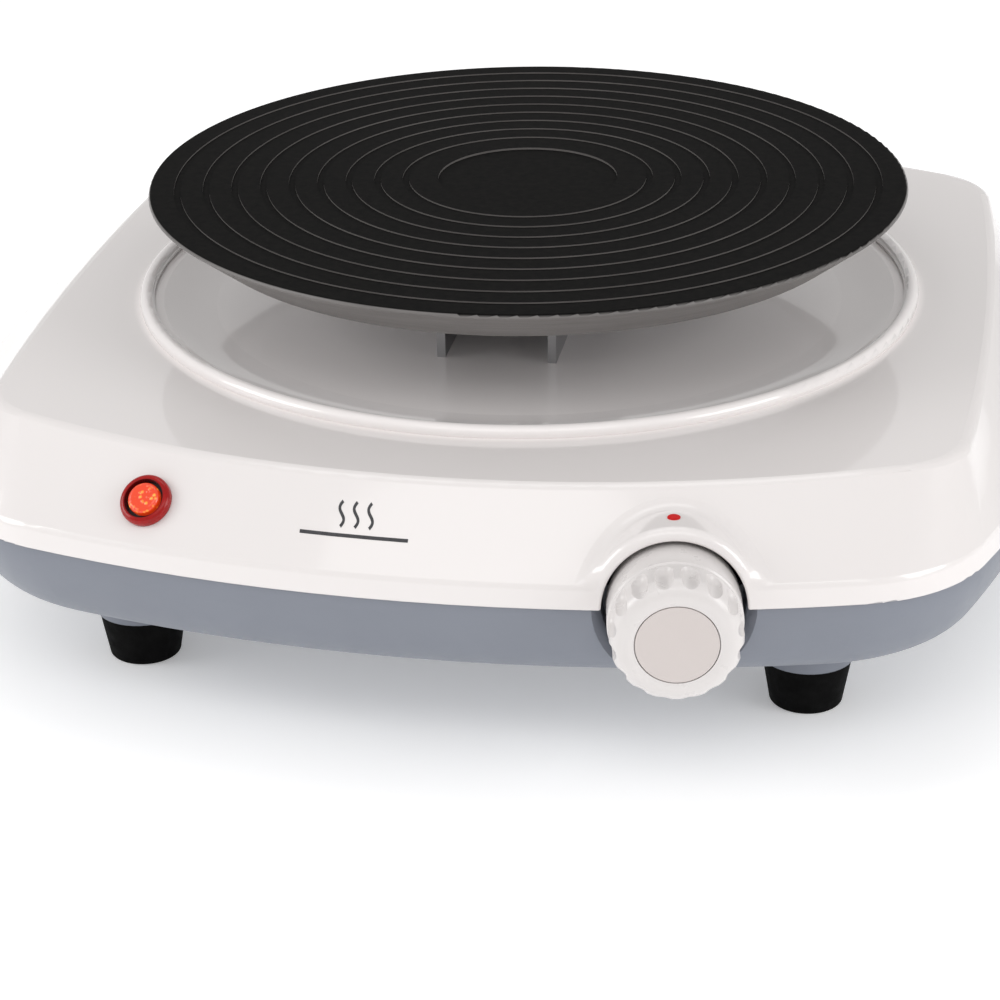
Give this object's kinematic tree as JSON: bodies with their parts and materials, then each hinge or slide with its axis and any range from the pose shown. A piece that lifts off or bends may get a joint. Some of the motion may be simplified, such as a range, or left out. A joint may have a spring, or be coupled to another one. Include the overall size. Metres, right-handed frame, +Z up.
{
  "type": "portable single hot plate",
  "caption": "Portable electric hot plate: raised cast plate on a white enamelled housing with a spill bowl, a grey base, a thermostat knob, a pilot lamp and rubber feet.",
  "frame": {"origin": "on the cooking plate's axis, at the level of the surface that the feet stand on", "axes": "+Z up along the plate's axis, -Y towards the knob and the user, +X to the user's right"},
  "size_m": [0.2698, 0.2944, 0.0922],
  "materials": {
    "enamel_white": "gloss enamel",
    "tray_grey": "fine satin texture",
    "cast_iron_black": "matt heat-resistant coating with a satin turned side",
    "sheet_steel": "zinc plated, satin",
    "aluminium_sheet": "satin",
    "element_sheath": "heat-darkened",
    "magnesia": "pressed ceramic powder",
    "ceramic_white": "glazed steatite",
    "phenolic_brown": "moulded phenolic",
    "brass_plain": "satin",
    "screw_zinc": "bright zinc",
    "knob_white": "semi-gloss",
    "knob_disc_cream": "satin",
    "bezel_red": "translucent gloss",
    "lens_orange": "faceted translucent",
    "bulb_glass": "clear",
    "dot_red": "printed paint",
    "rubber_black": "matt",
    "gland_black": "matt",
    "block_nylon": "natural nylon",
    "lead_brown": "glass-sleeved",
    "lead_blue": "glass-sleeved",
    "lead_green": "glass-sleeved",
    "spring_steel": "blued"
  },
  "bodies": {
    "root": {"top_housing": "enamel_white", "base_tray": "tray_grey", "hot_plate": "cast_iron_black", "heating_element": "element_sheath", "element_filler": "magnesia", "plate_bottom_cover": "sheet_steel", "plate_support_channel": "sheet_steel", "centre_stud": "screw_zinc", "shield_spacer": "screw_zinc", "heat_shield": "aluminium_sheet", "stud_washer": "screw_zinc", "earth_tag": "brass_plain", "stud_nut": "screw_zinc", "element_tail_bushes": "ceramic_white", "thermostat_bracket": "sheet_steel", "thermostat_body": "phenolic_brown", "thermostat_blades": "brass_plain", "thermostat_nut": "screw_zinc", "bracket_screws": "screw_zinc", "thermal_cutout": "aluminium_sheet", "contact_leaf": "brass_plain", "lamp_bezel": "bezel_red", "lamp_lens": "lens_orange", "neon_bulb": "bulb_glass", "lamp_clip": "spring_steel", "indicator_dot": "dot_red", "cord_gland": "gland_black", "terminal_block": "block_nylon", "lead_live": "lead_brown", "lead_neutral": "lead_blue", "lead_earth": "lead_green", "lead_to_cutout": "lead_brown", "lead_to_element": "lead_brown", "lamp_lead_live": "lead_brown", "lamp_lead_neutral": "lead_blue", "foot_screws": "screw_zinc", "housing_screws": "screw_zinc", "foot_back_right": "rubber_black", "foot_front_right": "rubber_black", "foot_back_left": "rubber_black", "foot_front_left": "rubber_black"},
    "knob": {"control_knob": "knob_white", "knob_face_disc": "knob_disc_cream", "knob_clip": "spring_steel", "thermostat_spindle": "screw_zinc"},
    "setting_pin": {"setting_pin": "ceramic_white"}
  },
  "joints": [
    {"name": "knob_turn", "type": "hinge", "parent": "root", "child": "knob", "pos_m": [0.0529, -0.13072, 0.0426], "axis": [-0.1608, 0.987, 0], "range_deg": [0, 270]},
    {"name": "setting_pin_slide", "type": "slide", "parent": "root", "child": "setting_pin", "axis": [-0.1608, 0.987, 0], "range_m": [0, 0.0006]}
  ],
  "couplings": [
    {"joint": "setting_pin_slide", "follows": "knob_turn", "m_per_rad": 0.000127}
  ]
}
